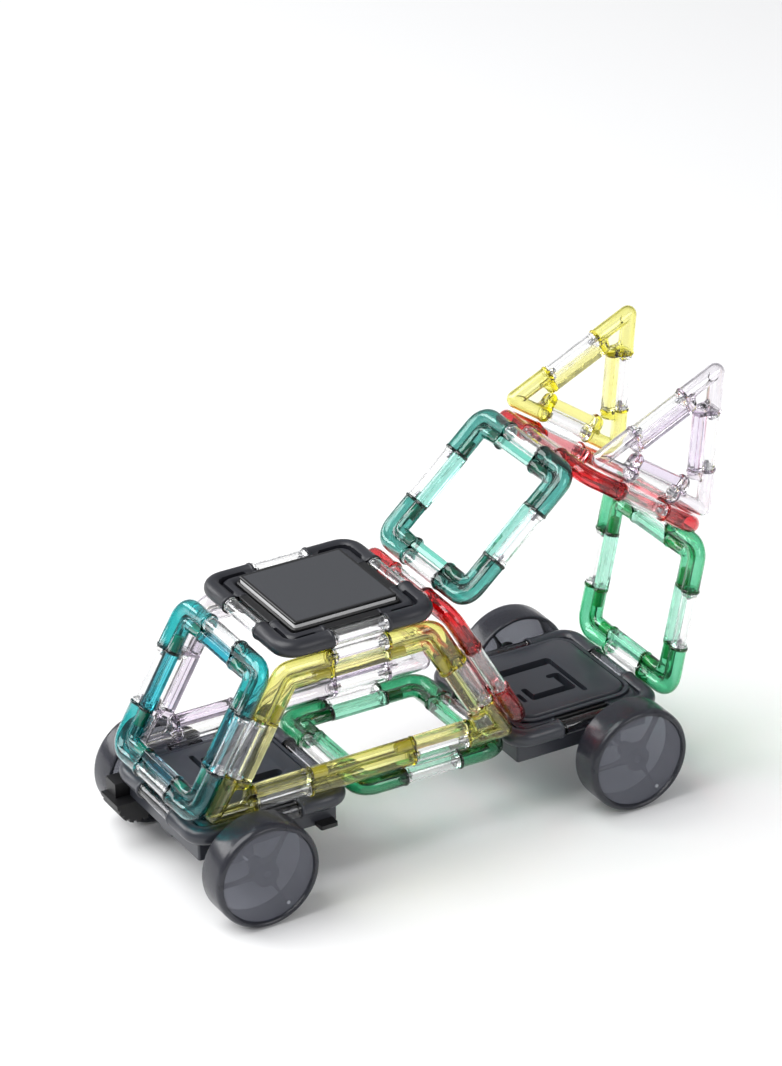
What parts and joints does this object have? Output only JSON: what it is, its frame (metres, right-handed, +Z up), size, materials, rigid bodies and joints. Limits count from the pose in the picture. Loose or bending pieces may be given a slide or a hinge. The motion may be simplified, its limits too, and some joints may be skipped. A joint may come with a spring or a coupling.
{
  "type": "solar robot kit",
  "caption": "Solar-powered kit car of hinged magnetic open frames: wheeled bases, a leaning cab with a solar roof, and a folding rear arch with fins.",
  "frame": {"origin": "on the ground, under the middle of the whole car", "axes": "+X from the front of the cab to the tail, +Y to the far side, +Z up"},
  "size_m": [0.225, 0.098, 0.163],
  "materials": {
    "green_tint": "clear tinted",
    "teal_tint": "clear tinted",
    "red_tint": "clear tinted",
    "yellow_tint": "clear tinted",
    "clear_tint": "clear",
    "clear_barrel": "clear",
    "smoky_barrel": "smoky",
    "smoky_wheel": "smoky",
    "charcoal": "satin",
    "solar_charcoal": "satin",
    "black": "satin",
    "cell": "glossy",
    "bright_edge": "polished",
    "magnet": "plated",
    "steel": "ground",
    "motor_can": "drawn",
    "gear_white": "moulded"
  },
  "bodies": {
    "root": {"clear_cab_side_barrels": "clear_barrel", "clear_cab_side_frame": "clear_tint", "clear_cab_side_magnets": "magnet", "drive_motor": "motor_can", "front_axle_housing": "charcoal", "front_base": "charcoal", "front_base_barrels": "smoky_barrel", "front_base_magnets": "magnet", "green_floor_barrels": "clear_barrel", "green_floor_frame": "green_tint", "green_floor_magnets": "magnet", "housing_screws": "steel", "rear_axle_housing": "charcoal", "rear_base": "charcoal", "rear_base_barrels": "smoky_barrel", "rear_base_magnets": "magnet", "red_cab_back_barrels": "clear_barrel", "red_cab_back_frame": "red_tint", "red_cab_back_magnets": "magnet", "ribbed_guard": "black", "solar_back_cover": "solar_charcoal", "solar_cell": "cell", "solar_cell_surround": "bright_edge", "solar_panel_barrels": "clear_barrel", "solar_panel_frame": "solar_charcoal", "solar_panel_magnets": "magnet", "switch_tab": "black", "teal_windscreen_barrels": "clear_barrel", "teal_windscreen_frame": "teal_tint", "teal_windscreen_magnets": "magnet", "yellow_cab_side_barrels": "clear_barrel", "yellow_cab_side_frame": "yellow_tint", "yellow_cab_side_magnets": "magnet"},
    "front_axle_set": {"front_axle": "steel", "front_far_wheel": "smoky_wheel", "front_near_wheel": "smoky_wheel", "axle_gear": "gear_white"},
    "rear_axle_set": {"rear_axle": "steel", "rear_far_wheel": "smoky_wheel", "rear_near_wheel": "smoky_wheel"},
    "pinion": {"motor_pinion": "gear_white"},
    "boom": {"teal_boom_barrels": "clear_barrel", "teal_boom_frame": "teal_tint", "teal_boom_magnets": "magnet"},
    "deck": {"red_deck_barrels": "clear_barrel", "red_deck_frame": "red_tint", "red_deck_magnets": "magnet"},
    "tail": {"green_tail_barrels": "clear_barrel", "green_tail_frame": "green_tint", "green_tail_magnets": "magnet"},
    "yellow_fin": {"yellow_fin_barrels": "clear_barrel", "yellow_fin_frame": "yellow_tint", "yellow_fin_magnets": "magnet"},
    "clear_fin": {"clear_fin_barrels": "clear_barrel", "clear_fin_frame": "clear_tint", "clear_fin_magnets": "magnet"}
  },
  "joints": [
    {"name": "front_axle_spin", "type": "hinge", "parent": "root", "child": "front_axle_set", "pos_m": [-0.08824, 0, 0.0205], "axis": [0, 1, 0], "continuous": true},
    {"name": "rear_axle_spin", "type": "hinge", "parent": "root", "child": "rear_axle_set", "pos_m": [0.06656, 0, 0.0205], "axis": [0, 1, 0], "continuous": true},
    {"name": "pinion_spin", "type": "hinge", "parent": "root", "child": "pinion", "pos_m": [-0.07899, 0, 0.0248], "axis": [0, 1, 0], "continuous": true},
    {"name": "boom_hinge", "type": "hinge", "parent": "root", "child": "boom", "pos_m": [0.00396, 0, 0.09577], "axis": [0, -1, 0], "range_deg": [-6, 6]},
    {"name": "deck_hinge", "type": "hinge", "parent": "boom", "child": "deck", "pos_m": [0.0544, 0, 0.13228], "axis": [0, -1, 0], "range_deg": [-11.2, 11.2]},
    {"name": "tail_hinge", "type": "hinge", "parent": "root", "child": "tail", "pos_m": [0.09154, 0, 0.03331], "axis": [0, -1, 0], "range_deg": [-7.1, 7.1]},
    {"name": "yellow_fin_hinge", "type": "hinge", "parent": "deck", "child": "yellow_fin", "pos_m": [0.08262, 0.0292, 0.12168], "axis": [0.8192, 0, -0.5736], "range_deg": [-75, 25]},
    {"name": "clear_fin_hinge", "type": "hinge", "parent": "deck", "child": "clear_fin", "pos_m": [0.08262, -0.0292, 0.12168], "axis": [0.8192, 0, -0.5736], "range_deg": [-25, 75]}
  ],
  "couplings": [
    {"joint": "pinion_spin", "follows": "front_axle_spin", "ratio": -2.4},
    {"joint": "deck_hinge", "follows": "boom_hinge", "ratio": -1.777},
    {"joint": "tail_hinge", "follows": "boom_hinge", "ratio": 1.095}
  ]
}
